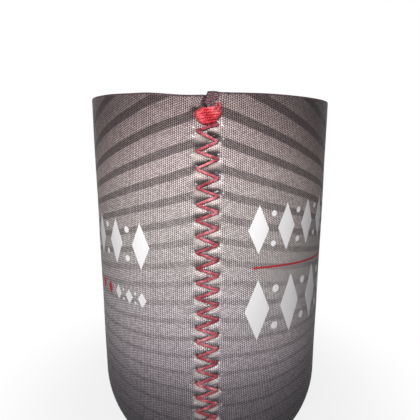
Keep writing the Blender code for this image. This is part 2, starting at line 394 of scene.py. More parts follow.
def panel_object(name, side, front_holes, back_holes, materials):
    """One panel's mesh, with its face, foam and lining materials, cloth coordinates and cloth states."""
    place, cloth, states, layers = panel_points(side, front_holes, back_holes)
    columns, rows = place.shape[:2]
    index = np.arange(columns * rows).reshape(columns, rows)
    before = np.roll(index, 1, axis=1)
    quads = np.stack([before[:-1], index[:-1], index[1:], before[1:]], axis=-1).reshape(-1, 4)
    ends = [index[0][::-1].tolist(), index[-1].tolist()]
    if side < 0:
        quads = quads[:, ::-1]
        ends = [end[::-1] for end in ends]
    mesh = bpy.data.meshes.new(name)
    mesh.from_pydata(place.reshape(-1, 3).tolist(), [], quads.tolist() + ends)
    for material in materials:
        mesh.materials.append(material)
    layer = np.where(np.roll(layers, 1) != layers, 1, layers)
    picked = np.concatenate([np.tile(layer, columns - 1), [1, 1]]).astype(np.int32)
    mesh.polygons.foreach_set("material_index", picked)
    loops = np.empty(len(mesh.loops), np.int32)
    mesh.loops.foreach_get("vertex_index", loops)
    uv = mesh.uv_layers.new(name="cloth")
    uv.data.foreach_set("uv", cloth.reshape(-1, 2)[loops].astype(np.float32).ravel())
    for label, values in states.items():
        state = mesh.attributes.new(label, "FLOAT", "POINT")
        state.data.foreach_set("value", values.astype(np.float32).ravel())
    return mesh_object(name, mesh, sharp_degrees=55)


def mesh_object(name, mesh, sharp_degrees):
    """A new object in the scene for a mesh, smooth but for its sharp edges."""
    mesh.shade_smooth()
    mesh.set_sharp_from_angle(angle=math.radians(sharp_degrees))
    piece = bpy.data.objects.new(name, mesh)
    bpy.context.collection.objects.link(piece)
    return piece


def smooth_path(points):
    """Catmull-Rom curve through points of place and share of painted shade, at even steps, with the length
    so far.
    """
    points = np.asarray(points, float)
    padded = np.concatenate([2 * points[:1] - points[1:2], points, 2 * points[-1:] - points[-2:-1]])
    pieces = []
    t = np.linspace(0, 1, CURVE_STEPS, endpoint=False)[:, None]
    for p0, p1, p2, p3 in zip(padded, padded[1:], padded[2:], padded[3:]):
        curve = 2 * p1 + (p2 - p0) * t + (2 * p0 - 5 * p1 + 4 * p2 - p3) * t ** 2
        pieces.append(0.5 * (curve + (3 * p1 - p0 - 3 * p2 + p3) * t ** 3))
    line = np.concatenate(pieces + [points[-1:]])
    along = np.concatenate([[0], np.cumsum(np.linalg.norm(np.diff(line[:, :3], axis=0), axis=1))])
    at = np.linspace(0, along[-1], max(3, round(along[-1] / TWIST_STEP)))
    even = np.stack([np.interp(at, along, column) for column in line.T], axis=1)
    return even[:, :3], even[:, 3], at


def frames_along(line):
    """Two directions across a line at each of its points, carried along without twisting."""
    tangent = np.gradient(line, axis=0)
    tangent /= np.linalg.norm(tangent, axis=1)[:, None]
    first = np.cross(tangent[0], ANY_DIRECTION)
    across = [first / np.linalg.norm(first)]
    for direction in tangent[1:]:
        carried = across[-1] - direction * (across[-1] @ direction)
        across.append(carried / np.linalg.norm(carried))
    across = np.array(across)
    return across, np.cross(tangent, across)


def tube(line, across, other, radius):
    """Vertices and faces of a closed tube round a line."""
    turn = 2 * math.pi * np.arange(PLY_SIDES) / PLY_SIDES
    ring = np.cos(turn)[None, :, None] * across[:, None] + np.sin(turn)[None, :, None] * other[:, None]
    verts = (line[:, None] + radius * ring).reshape(-1, 3)
    index = np.arange(len(line) * PLY_SIDES).reshape(len(line), PLY_SIDES)
    after = np.roll(index, -1, axis=1)
    quads = np.stack([index[:-1], after[:-1], after[1:], index[1:]], axis=-1).reshape(-1, 4).tolist()
    return verts, quads + [index[0][::-1].tolist(), index[-1].tolist()]


def twisted_thread(name, paths, radius, material):
    """A thread of twisted plies along each path, as one mesh."""
    verts, faces, painted_shade, count = [], [], [], 0
    for path in paths:
        # The path's depth column is its share of painted shade, not a depth in the wall
        line, depth, along = smooth_path(path)
        across, other = frames_along(line)
        for ply in range(PLIES):
            phase = 2 * math.pi * (ply / PLIES + along / TWIST_PITCH)
            offset = np.cos(phase)[:, None] * across + np.sin(phase)[:, None] * other
            centre = line + PLY_OFFSET * radius * offset
            ply_verts, ply_faces = tube(centre, across, other, PLY_RADIUS * radius)
            verts.append(ply_verts)
            painted_shade.append(np.repeat(depth, PLY_SIDES))
            faces += [[corner + count for corner in face] for face in ply_faces]
            count += len(ply_verts)
    mesh = bpy.data.meshes.new(name)
    mesh.from_pydata(np.concatenate(verts).tolist(), [], faces)
    mesh.materials.append(material)
    state = mesh.attributes.new("painted_shade", "FLOAT", "POINT")
    state.data.foreach_set("value", np.concatenate(painted_shade).astype(np.float32))
    return mesh_object(name, mesh, sharp_degrees=60)


def seam_point(turn, across, run, inset, painted_shade):
    """A thread's point on the wall, and its share of painted shade, darker where it sinks into the knit."""
    return np.append(wall_place(turn + across / OUTER_RADIUS, np.float64(run), inset), painted_shade)


# The thread at one end of a stitch, as (distance from the hole, share of its dive, share of painted shade),
# and halfway
STITCH_END = ((0.10 * MM, 0.5, 1.0), (0.32 * MM, 0.08, 0.8), (0.85 * MM, 0.0, 0.35))
STITCH_CROWN = -0.02


def stitch_path(turn, holes, level, dive):
    """The thread from hole to hole: it lies at level, and dips by dive into the wall at each hole."""
    points = [seam_point(turn, *holes[0], level + dive, 1.0)]
    for start, end in zip(holes[:-1], holes[1:]):
        heading = (end - start) / np.linalg.norm(end - start)
        stops = [(start + away * heading, dip, painted_shade) for away, dip, painted_shade in STITCH_END]
        stops.append(((start + end) / 2, STITCH_CROWN, 0.0))
        stops += [(end - away * heading, dip, painted_shade) for away, dip, painted_shade in STITCH_END[::-1]]
        for place, dip, painted_shade in (*stops, (end, 1.0, 1.0)):
            points.append(seam_point(turn, *place, level + dip * dive, painted_shade))
    return points


# Bar tack outline from its top down, as (share of its height, share of its half width, shift to the right)
TACK_OUTLINE = np.array([
    (0.0, 0.66, 0.6 * MM), (0.12, 0.88, 0.3 * MM), (0.30, 1.0, 0.2 * MM), (0.50, 0.94, 0.2 * MM),
    (0.75, 0.74, 0.3 * MM), (1.0, 0.46, 0.4 * MM),
])
TACK_STRANDS = 13
TACK_THREAD_RADIUS = 0.29 * MM
TACK_SLOPE, TACK_SLOPE_DRIFT = 0.30 * MM, 0.08 * MM

# A strand's way across, as (share of its half width, share of its crown); below 0 it dives into the wall.
# The crowns of the low strands and of the high ones, in millimetres, as (least, more at the tack's middle)
TACK_STRAND = ((-1.0, -1.2), (-0.92, 0.15), (-0.6, 0.8), (0.0, 1.0), (0.6, 0.8), (0.92, 0.15), (1.0, -1.2))
TACK_CROWNS = ((0.12, 0.32), (0.32, 0.55))
TACK_DOME = (0.1, 0.8)
TACK_BED = 0.30 * MM
TACK_DIVE = 0.6 * MM

# Painted shade on the low strands and on the high ones, and on all of them at their ends where they dive
# into the wall
TACK_PAINTED_SHADE, END_PAINTED_SHADE = (0.35, 0.0), 0.9

# The ends that stand above the tack's right end, as (across, run below the tack's top, inset) in
# millimetres, and how far along the tack each of them starts
TACK_TAIL = (
    (-0.5, 1.1, -0.10), (-0.1, 0.3, -0.50), (0.25, -0.4, -0.45), (0.2, -0.8, -0.25), (0.4, -1.1, 0.15),
)
TACK_TAIL_STARTS = (2.0, 2.8)
# Painted shade on the tail
TAIL_PAINTED_SHADE = 0.8


def tack_paths(turn, seed):
    """The bar tack: low strands one way, high strands back over them, and a tail above its right end."""
    rng = np.random.default_rng(seed)
    path = []
    for strand in range(TACK_STRANDS):
        share = strand / (TACK_STRANDS - 1)
        half = TACK_WIDTH / 2 * np.interp(share, TACK_OUTLINE[:, 0], TACK_OUTLINE[:, 1])
        middle = np.interp(share, TACK_OUTLINE[:, 0], TACK_OUTLINE[:, 2])
        run = TACK_TOP + share * TACK_HEIGHT
        side = 1 if strand % 2 else -1
        dome = math.sin(math.pi * (TACK_DOME[0] + TACK_DOME[1] * share))
        least, more = TACK_CROWNS[strand % 2]
        crown = -(least + more * dome) * MM
        slope = TACK_SLOPE + rng.normal(0, TACK_SLOPE_DRIFT)
        for reach, lift in TACK_STRAND:
            inset = TACK_BED + lift * (crown if lift > 0 else -TACK_DIVE)
            painted_shade = END_PAINTED_SHADE if lift < 0.5 else TACK_PAINTED_SHADE[strand % 2]
            across, down = side * reach * half, side * reach * slope
            path.append(seam_point(turn, middle + across, run - down, inset, painted_shade))
    paths = [path]
    for start in TACK_TAIL_STARTS:
        paths.append([
            seam_point(turn, (across + start) * MM, TACK_TOP + run * MM, inset * MM, TAIL_PAINTED_SHADE)
            for across, run, inset in TACK_TAIL
        ])
    return paths


# Gloss of all fibres
SPECULAR = 0.3
SHEEN_ROUGHNESS = 0.5


class Nodes:
    """A short way to write a material's or world's nodes: most methods add one and return its output."""

    def __init__(self, owner):
        self.owner = owner
        owner.use_nodes = True
        self.tree = owner.node_tree
        self.tree.nodes.clear()

    def add(self, kind, **settings):
        node = self.tree.nodes.new(kind)
        for setting, value in settings.items():
            setattr(node, setting, value)
        return node

    def feed(self, socket, value):
        if isinstance(value, bpy.types.NodeSocket):
            self.tree.links.new(value, socket)
        else:
            socket.default_value = value

    def math(self, operation, a, b=0.0, c=0.0):
        node = self.add("ShaderNodeMath", operation=operation)
        for socket, value in zip(node.inputs, (a, b, c)):
            self.feed(socket, value)
        return node.outputs[0]

    def step(self, value, low, high, first=0.0, last=1.0):
        """Smooth step of a value between low and high, from first to last."""
        node = self.add("ShaderNodeMapRange", interpolation_type="SMOOTHSTEP")
        for socket, given in zip(node.inputs, (value, low, high, first, last)):
            self.feed(socket, given)
        return node.outputs[0]

    def mix(self, share, a, b, blend="MIX"):
        node = self.add("ShaderNodeMix", data_type="RGBA", blend_type=blend)
        for socket, value in ((node.inputs[0], share), (node.inputs[6], a), (node.inputs[7], b)):
            self.feed(socket, value)
        return node.outputs[2]

    def vector(self, x, y):
        node = self.add("ShaderNodeCombineXYZ")
        self.feed(node.inputs[0], x)
        self.feed(node.inputs[1], y)
        return node.outputs[0]

    def state(self, label):
        """One of the states that the mesh keeps for each vertex."""
        return self.add("ShaderNodeAttribute", attribute_name=label).outputs["Fac"]

    def noise(self, vector, scale, detail=2.0):
        node = self.add("ShaderNodeTexNoise")
        self.feed(node.inputs["Vector"], vector)
        node.inputs["Scale"].default_value = scale
        node.inputs["Detail"].default_value = detail
        return node.outputs["Fac"]

    def random(self, vector):
        node = self.add("ShaderNodeTexWhiteNoise", noise_dimensions="2D")
        self.feed(node.inputs["Vector"], vector)
        return node.outputs["Value"]

    def ramp(self, value, stops):
        node = self.add("ShaderNodeValToRGB")
        elements = node.color_ramp.elements
        while len(elements) < len(stops):
            elements.new(0.5)
        for element, (place, colour) in zip(elements, stops):
            element.position = place
            element.color = colour
        self.feed(node.inputs[0], value)
        return node.outputs[0]

    def bump(self, height, distance, strength):
        node = self.add("ShaderNodeBump")
        node.inputs["Distance"].default_value = distance
        node.inputs["Strength"].default_value = strength
        self.feed(node.inputs["Height"], height)
        return node.outputs[0]

    def seen(self):
        """1 for what the camera, a reflection or a glass sees, and 0 for light on its way to the sleeve."""
        path = self.add("ShaderNodeLightPath").outputs
        seen = self.math("MAXIMUM", path["Is Camera Ray"], path["Is Glossy Ray"])
        return self.math("MAXIMUM", seen, path["Is Transmission Ray"])

    def output(self, shader, kind="ShaderNodeOutputMaterial"):
        self.tree.links.new(shader.outputs[0], self.add(kind).inputs[0])
        return self.owner

    def finish(self, colour, roughness, normal, sheen=0.0):
        shader = self.add("ShaderNodeBsdfPrincipled")
        self.feed(shader.inputs["Base Color"], colour)
        self.feed(shader.inputs["Normal"], normal)
        shader.inputs["Roughness"].default_value = roughness
        shader.inputs["Specular IOR Level"].default_value = SPECULAR
        shader.inputs["Sheen Weight"].default_value = sheen
        shader.inputs["Sheen Roughness"].default_value = SHEEN_ROUGHNESS
        return self.output(shader)


def linear(red, green, blue):
    """An 8-bit sRGB colour as the linear values that a shader takes."""
    channels = []
    for value in (red, green, blue):
        share = value / 255
        channels.append(share / 12.92 if share <= 0.04045 else ((share + 0.055) / 1.055) ** 2.4)
    return (*channels, 1.0)


# Knit: the two waves, in cycles per millimetre of the flat cloth, whose crests cross at its loops, how much
# each of them and their sum, the upright wale, stands out, and how far the wale is out of step
LOOP_WAVES = ((1.15, 1.75), (0.74, -1.82))
LOOP_SHARES = (0.18, 0.17, 0.20)
WALE_SHIFT = 0.2

# Tones of the knit: the shades of its gaps and loops, and how each loop, patch and streak varies them, as
# (gain, base) of a random value
RELIEF_RANGE, RELIEF_SHADES = (0.14, 0.86), (0.045, 1.98)
LOOP_TONE, PATCH_TONE, STREAK_TONE = (0.44, 0.80), (0.16, 0.92), (0.10, 0.95)
PATCH_SCALE = 0.35
STREAK_STRETCH = (1.9, 0.16)
PRINT_TONE = (0.08, 0.92)
TINT_RANGE = (0.34, 1.82)
DARK_TINT, PALE_TINT = (1.08, 1.0, 0.99, 1.0), (0.95, 1.0, 1.0, 1.0)
KNIT_BUMP = (0.13 * MM, 0.5)
KNIT_ROUGHNESS, KNIT_SHEEN = 0.92, 0.03
LINING_COLOUR = linear(58, 56, 60)

# What the stitches do to the printed knit: painted shade in the hollows above the stitches and in the
# crease above the bar tack, painted highlight on the upper part of each puff, and a weave that opens near
# the needle holes. Below them, the knit takes the cut foam's colour along the rim's top edge and on the raw
# corners.
# Painted shade in the hollows and the crease: its strength and its colour
FOLD_SHADE_STRENGTH, FOLD_SHADE_COLOUR = 0.92, linear(38, 28, 32)
# Painted highlight on the upper part of each puff: its strength and its colour
PUFF_HIGHLIGHT_STRENGTH, PUFF_HIGHLIGHT_COLOUR = 0.34, linear(240, 225, 218)
OPENED_SHARES, OPENED_RANGE, OPENED_COLOUR = (0.45, 0.9), (0.96, 1.08), linear(240, 240, 244)
# A band along the rim's top edge that takes the cut foam's colour, and how much
CUT_RIM, CUT_RIM_SHARE = (CLOTH_HEIGHT - 0.7, CLOTH_HEIGHT - 0.25), 0.3
CUT_FRAY, CUT_FRAY_SCALE, CUT_RANGE = (1.6, 0.2), 2.2, (0.10, 0.20)

# The field: its colours by the height at the nearest seam, darker towards the foot and at the top corners
FIELD_SCALE = 130.0
FIELD_STOPS = (
    (8 / FIELD_SCALE, linear(90, 85, 90)),
    (22 / FIELD_SCALE, linear(122, 115, 120)),
    (32 / FIELD_SCALE, linear(162, 153, 158)),
    (46 / FIELD_SCALE, linear(178, 169, 172)),
    (66 / FIELD_SCALE, linear(171, 163, 162)),
    (90 / FIELD_SCALE, linear(158, 144, 143)),
    (102 / FIELD_SCALE, linear(125, 110, 109)),
    (112 / FIELD_SCALE, linear(88, 76, 77)),
)

# Printed stripes: straight rays that fan out from far beyond the panel's middle, at FAN_HEIGHT. The law
# gives the number of stripes passed at a distance down the seam from FIRST_STRIPE, as a cubic's factors.
FAN_HEIGHT = 28.0
FAN_REACH = 185.0
FAN_ROUNDING = 5.0
FIRST_STRIPE = 100.3
STRIPE_LAW = (-2.92e-6, 7.04e-4, 0.1361, -0.017)
STRIPE_WIDENING, STRIPE_HALF_WIDTH = 0.0085, 0.36
STRIPE_SOFTNESS = 0.18
STRIPE_FADE, STRIPE_STRENGTHS = (55.0, 104.0), (0.27, 0.68)
STRIPE_COLOUR = linear(30, 16, 22)

# Printed bands in millimetres, centred on each panel's middle: rows of lozenges with small rounds between
# them, counted out to the last one, and thin rules that end a margin away from both seams and sag between.
# A row may turn from white to red within a distance of the panel's middle.
RIGHT_BANDS = {
    "shift": 0.3,
    "rules": ({"height": 59.3, "margin": 12.0, "sag": 2.2},),
    "rows": (
        {"height": 69.5, "half_height": 6.5, "half_width": 3.0, "pitch": 8.9, "last": 5.0, "dot": 0.8},
        {"height": 47.3, "half_height": 8.7, "half_width": 3.7, "pitch": 11.1, "last": 4.0, "dot": 1.1},
    ),
}
LEFT_BANDS = {
    "shift": 0.0,
    "rules": (),
    "rows": (
        {"height": 64.5, "half_height": 6.5, "half_width": 3.0, "pitch": 9.8, "last": 4.0, "dot": 0.9},
        {"height": 49.3, "half_height": 2.2, "half_width": 1.5, "pitch": 4.9, "last": 8.0, "dot": 0.4,
         "red_within": 27.0},
    ),
}
RULE_HALF_WIDTH = 0.3
RULE_SAG_END = 12.0

# The rounds' level, as a share of a lozenge's half height, and the softness of printed edges
DOT_LEVEL = 0.62
SOFTNESS = 0.12
RED_SOFTNESS = 0.1
RED_PRINT = linear(186, 50, 58)
WHITE_PRINT = linear(252, 252, 255)


def plane_wave(nodes, across, height, wave):
    """Phase, in cycles, of a wave over the cloth."""
    return nodes.math("MULTIPLY_ADD", across, wave[0], nodes.math("MULTIPLY", height, wave[1]))


def knit_loops(nodes, across, height):
    """Relief of the knit, from about 0 in its gaps to 1 on its loops, and a random value for each loop."""
    phases = [plane_wave(nodes, across, height, wave) for wave in LOOP_WAVES]
    cells = [nodes.math("ROUND", phase) for phase in phases]
    wale = nodes.math("ADD", nodes.math("ADD", *phases), WALE_SHIFT)
    relief = 0.5
    for phase, share in zip((*phases, wale), LOOP_SHARES):
        crest = nodes.math("COSINE", nodes.math("MULTIPLY", phase, 2 * math.pi))
        relief = nodes.math("MULTIPLY_ADD", crest, share, relief)
    return relief, nodes.random(nodes.vector(*cells))


def stripe_height(nodes, across, height):
    """Height at which the printed ray through a place meets the nearest seam, and how far the place is from
    the panel's middle."""
    from_middle = nodes.math("SUBTRACT", nodes.math("ABSOLUTE", across), CLOTH_MIDDLE)
    from_middle = nodes.math("ABSOLUTE", from_middle)
    squared = nodes.math("MULTIPLY_ADD", from_middle, from_middle, FAN_ROUNDING ** 2)
    from_seam = nodes.math("SUBTRACT", CLOTH_MIDDLE, nodes.math("SQRT", squared))
    share = nodes.math("SUBTRACT", 1.0, nodes.math("DIVIDE", from_seam, FAN_REACH))
    above = nodes.math("DIVIDE", nodes.math("SUBTRACT", height, FAN_HEIGHT), share)
    return nodes.math("ADD", above, FAN_HEIGHT), from_middle


def stripe_mask(nodes, seam_height):
    """1 inside a dark printed stripe: the stripes lie closer together and get narrower downwards."""
    down = nodes.math("SUBTRACT", FIRST_STRIPE, seam_height)
    cubic, square, rate, start = STRIPE_LAW
    number = nodes.math("MULTIPLY_ADD", down, cubic, square)
    number = nodes.math("MULTIPLY_ADD", down, number, rate)
    number = nodes.math("MULTIPLY_ADD", down, number, start)
    density = nodes.math("MULTIPLY_ADD", down, 3 * cubic, 2 * square)
    density = nodes.math("MULTIPLY_ADD", down, density, rate)
    away = nodes.math("DIVIDE", nodes.math("PINGPONG", number, 0.5), density)
    half_width = nodes.math("MULTIPLY_ADD", seam_height, STRIPE_WIDENING, STRIPE_HALF_WIDTH)
    return nodes.step(nodes.math("SUBTRACT", half_width, away), -STRIPE_SOFTNESS, STRIPE_SOFTNESS)


def rule_mask(nodes, from_middle, height, rule):
    """A thin line round the panel, which sags a little towards the panel's middle."""
    end = CLOTH_MIDDLE - rule["margin"]
    middle = nodes.step(from_middle, RULE_SAG_END, end, rule["height"] - rule["sag"], rule["height"])
    off = nodes.math("ABSOLUTE", nodes.math("SUBTRACT", height, middle))
    line = nodes.step(off, RULE_HALF_WIDTH + RED_SOFTNESS, RULE_HALF_WIDTH - RED_SOFTNESS)
    return nodes.math("MULTIPLY", line, nodes.step(from_middle, end + SOFTNESS, end - SOFTNESS))


def lozenge_mask(nodes, from_middle, height, row):
    """A row of lozenges, with a small round above and below each gap between two of them."""
    up = nodes.math("ABSOLUTE", nodes.math("SUBTRACT", height, row["height"]))
    along = nodes.math("DIVIDE", from_middle, row["pitch"])
    beside = nodes.math("MULTIPLY", nodes.math("PINGPONG", along, 0.5), row["pitch"])
    slant = nodes.math("MULTIPLY_ADD", up, row["half_width"] / row["half_height"], beside)
    lozenge = nodes.step(slant, row["half_width"] + SOFTNESS, row["half_width"] - SOFTNESS)
    to_dot = nodes.math("SUBTRACT", row["pitch"] / 2, beside)
    dot_up = nodes.math("SUBTRACT", up, row["half_height"] * DOT_LEVEL)
    squared = nodes.math("MULTIPLY_ADD", to_dot, to_dot, nodes.math("MULTIPLY", dot_up, dot_up))
    dot = nodes.step(nodes.math("SQRT", squared), row["dot"] + SOFTNESS, row["dot"] - SOFTNESS)
    lozenge = nodes.math("MULTIPLY", lozenge, nodes.step(along, row["last"] + 0.51, row["last"] + 0.49))
    dot = nodes.math("MULTIPLY", dot, nodes.step(along, row["last"] + 0.01, row["last"] - 0.01))
    return nodes.math("MAXIMUM", lozenge, dot)


def print_colour(nodes, across, height, bands):
    """The face: a warm grey field, darker at the top corners and the foot, with printed stripes and motifs.
    """
    height = nodes.math("SUBTRACT", height, bands["shift"])
    seam_height, from_middle = stripe_height(nodes, across, height)
    field = nodes.ramp(nodes.math("DIVIDE", seam_height, FIELD_SCALE), FIELD_STOPS)
    strength = nodes.step(seam_height, *STRIPE_FADE, *STRIPE_STRENGTHS)
    dark = nodes.math("MULTIPLY", stripe_mask(nodes, seam_height), strength)
    colour = nodes.mix(dark, field, STRIPE_COLOUR)
    white = red = 0.0
    for rule in bands["rules"]:
        red = nodes.math("MAXIMUM", red, rule_mask(nodes, from_middle, height, rule))
    for row in bands["rows"]:
        marks = lozenge_mask(nodes, from_middle, height, row)
        if "red_within" in row:
            edge = row["red_within"]
            inner = nodes.step(from_middle, edge + RED_SOFTNESS, edge - RED_SOFTNESS)
            red = nodes.math("MAXIMUM", red, nodes.math("MULTIPLY", marks, inner))
            marks = nodes.math("MULTIPLY", marks, nodes.math("SUBTRACT", 1.0, inner))
        white = nodes.math("MAXIMUM", white, marks)
    colour = nodes.mix(red, colour, RED_PRINT)
    return nodes.mix(white, colour, WHITE_PRINT), white


def knit_shade(nodes, cloth, across, height, relief, chance):
    """How much darker or paler than its colour the knit looks, from loop to loop and place to place."""
    patch = nodes.noise(cloth, PATCH_SCALE, 3.0)
    along, up = (nodes.math("MULTIPLY", *pair) for pair in zip((across, height), STREAK_STRETCH))
    streak = nodes.noise(nodes.vector(along, up), 1.0)
    shade = nodes.step(relief, *RELIEF_RANGE, *RELIEF_SHADES)
    for value, tone in ((chance, LOOP_TONE), (patch, PATCH_TONE), (streak, STREAK_TONE)):
        shade = nodes.math("MULTIPLY", shade, nodes.math("MULTIPLY_ADD", value, *tone))
    return shade


def seam_marks_and_painted_light(nodes, colour, cloth, height, relief, chance):
    """The printed knit near the seams: painted shade in the hollows and the crease, painted highlight on
    the puffs, a weave that opens near the needle holes, and the cut foam's colour along the rim and on the
    raw corners.
    """
    # Painted shade in the hollows above the stitches and in the crease above the bar tack
    painted_fold_shade = nodes.step(nodes.state("painted_fold_shade"), 0.0, 1.0, 0.0, FOLD_SHADE_STRENGTH)
    colour = nodes.mix(painted_fold_shade, colour, FOLD_SHADE_COLOUR)
    # Painted highlight on the upper part of each puff
    colour = nodes.mix(nodes.math("MULTIPLY", nodes.state("puff"), PUFF_HIGHLIGHT_STRENGTH), colour, PUFF_HIGHLIGHT_COLOUR)
    loose = nodes.math("MULTIPLY", chance, OPENED_SHARES[1])
    loose = nodes.math("MULTIPLY_ADD", nodes.state("pull"), OPENED_SHARES[0], loose)
    opened = nodes.step(loose, *OPENED_RANGE)
    colour = nodes.mix(nodes.math("MULTIPLY", opened, relief), colour, OPENED_COLOUR)
    # The knit takes the cut foam's colour along the rim's top edge and on the raw corners
    raw = nodes.math("ADD", nodes.state("raw"), nodes.step(height, *CUT_RIM, 0.0, CUT_RIM_SHARE))
    frayed = nodes.math("MULTIPLY_ADD", nodes.noise(cloth, CUT_FRAY_SCALE, 3.0), *CUT_FRAY)
    cut = nodes.step(nodes.math("MULTIPLY", raw, frayed), *CUT_RANGE)
    return nodes.mix(cut, colour, cut_foam_colour(nodes, cloth))


def knit_material(name, bands=None):
    """Heathered knit in the cloth's flat coordinates, printed outside and plain black as the lining."""
    nodes = Nodes(bpy.data.materials.new(name))
    cloth = nodes.add("ShaderNodeUVMap", uv_map="cloth").outputs[0]
    parts = nodes.add("ShaderNodeSeparateXYZ")
    nodes.feed(parts.inputs[0], cloth)
    across, height = parts.outputs[0], parts.outputs[1]
    relief, chance = knit_loops(nodes, across, height)
    shade = knit_shade(nodes, cloth, across, height, relief, chance)
    colour = LINING_COLOUR
    if bands is not None:
        colour, white = print_colour(nodes, across, height, bands)
        shade = nodes.mix(white, shade, nodes.math("MULTIPLY_ADD", relief, *PRINT_TONE))
    dark, pale = (nodes.mix(1.0, shade, tint, "MULTIPLY") for tint in (DARK_TINT, PALE_TINT))
    tinted = nodes.mix(nodes.step(shade, *TINT_RANGE), dark, pale)
    colour = nodes.mix(1.0, colour, tinted, "MULTIPLY")
    if bands is not None:
        colour = seam_marks_and_painted_light(nodes, colour, cloth, height, relief, chance)
    return nodes.finish(colour, KNIT_ROUGHNESS, nodes.bump(relief, *KNIT_BUMP), sheen=KNIT_SHEEN)


# Colour that the knit takes along the rim's top edge and on the raw corners: dark, mottled with paler
# pinkish greys
CUT_MOTTLE_SCALE = 4.6
CUT_MOTTLE_STOPS = ((0.40, linear(36, 19, 23)), (0.52, linear(74, 49, 54)), (0.66, linear(159, 129, 134)))
CELL_SCALE, CELL_SHARE = 2600.0, 0.5
GRAIN_SCALE, GRAIN_SHARE = 900.0, 0.6
FOAM_RANGE, FOAM_TONES = (0.3, 0.8), (linear(36, 30, 32), linear(78, 68, 71))
FOAM_DULLNESS, FOAM_BUMP = 0.95, (0.15 * MM, 0.8)

# Thread: its fibres, their slower drift, and where the three reds lie in the sum of both
FIBRE_SCALE, FIBRE_SHARE = 5200.0, 0.55
DRIFT_SCALE, DRIFT_SHARE = 420.0, 0.45
RED_PLACES = (0.34, 0.5, 0.66)
# How far the painted shade darkens the thread towards its darkest red
PAINTED_SHADE_SHARE = 0.7
THREAD_ROUGHNESS, THREAD_SHEEN = 0.4, 0.2
THREAD_BUMP = (0.05 * MM, 0.6)


def cut_foam_colour(nodes, cloth):
    """Dark foam colour mottled with paler pinkish greys."""
    return nodes.ramp(nodes.noise(cloth, CUT_MOTTLE_SCALE, 4.0), CUT_MOTTLE_STOPS)


def foam_material(name):
    """Black open-cell foam, as its cut edges show it."""
    nodes = Nodes(bpy.data.materials.new(name))
    place = nodes.add("ShaderNodeTexCoord").outputs["Object"]
    cells = nodes.add("ShaderNodeTexVoronoi", feature="F1")
    nodes.feed(cells.inputs["Vector"], place)
    cells.inputs["Scale"].default_value = CELL_SCALE
    grain = nodes.math("MULTIPLY", nodes.noise(place, GRAIN_SCALE), GRAIN_SHARE)
    shade = nodes.math("MULTIPLY_ADD", cells.outputs["Distance"], CELL_SHARE, grain)
    colour = nodes.mix(nodes.step(shade, *FOAM_RANGE), *FOAM_TONES)
    return nodes.finish(colour, FOAM_DULLNESS, nodes.bump(shade, *FOAM_BUMP))


def thread_material(name, dark, middle, pale):
    """Twisted polyester, with three reds that change along its fibres, and painted shade where it sinks
    into the knit or lies under other strands.
    """
    nodes = Nodes(bpy.data.materials.new(name))
    place = nodes.add("ShaderNodeTexCoord").outputs["Object"]
    fibres = nodes.noise(place, FIBRE_SCALE, 3.0)
    drift = nodes.math("MULTIPLY", nodes.noise(place, DRIFT_SCALE), DRIFT_SHARE)
    shade = nodes.math("MULTIPLY_ADD", fibres, FIBRE_SHARE, drift)
    colour = nodes.ramp(shade, tuple(zip(RED_PLACES, (dark, middle, pale))))
    # Painted shade: the thread darkened towards its darkest red where it sinks into the knit or lies under
    # other strands
    colour = nodes.mix(nodes.math("MULTIPLY", nodes.state("painted_shade"), PAINTED_SHADE_SHARE), colour, dark)
    return nodes.finish(colour, THREAD_ROUGHNESS, nodes.bump(fibres, *THREAD_BUMP), sheen=THREAD_SHEEN)


# The base disc: the flat part it rests on, the gap to the wall, the edge's distances from bottom and top,
# how the upper edge is rounded, how far the top is dished, and the rings of bottom, edge and top
BASE_FLAT = 27.2 * MM
BASE_GAP = 0.3 * MM
BASE_EDGE = (0.15 * MM, 0.35 * MM)
BASE_ROUND = (0.12 * MM, 0.1 * MM)
BASE_SHOULDER = 0.5 * MM
BASE_DISH, BASE_DISH_REACH = 0.25 * MM, 20 * MM
BASE_RINGS = (28, 8, 30)
BASE_SIDES = 144


def base_profile():
    """Half section of the base, from its centre out and back, as (radius, height, next face's layer)."""
    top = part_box("base_disc")[1][2]
    reach = BEND_RADIUS - WALL - BASE_GAP
    profile = [(r, 0.0, 0) for r in np.linspace(0, BASE_FLAT, BASE_RINGS[0])]
    for height in np.linspace(BASE_EDGE[0], top - BASE_EDGE[1], BASE_RINGS[1]):
        radius = OUTER_RADIUS - BEND_RADIUS + math.sqrt(reach ** 2 - (BEND_HEIGHT - height) ** 2)
        profile.append((radius, height, 1))
    edge = profile[-1][0]
    profile.append((edge - BASE_ROUND[0], top - BASE_ROUND[1], 0))
    for r in np.linspace(edge - BASE_SHOULDER, 0, BASE_RINGS[2]):
        profile.append((r, top - BASE_DISH * bell(r, BASE_DISH_REACH), 0))
    return profile


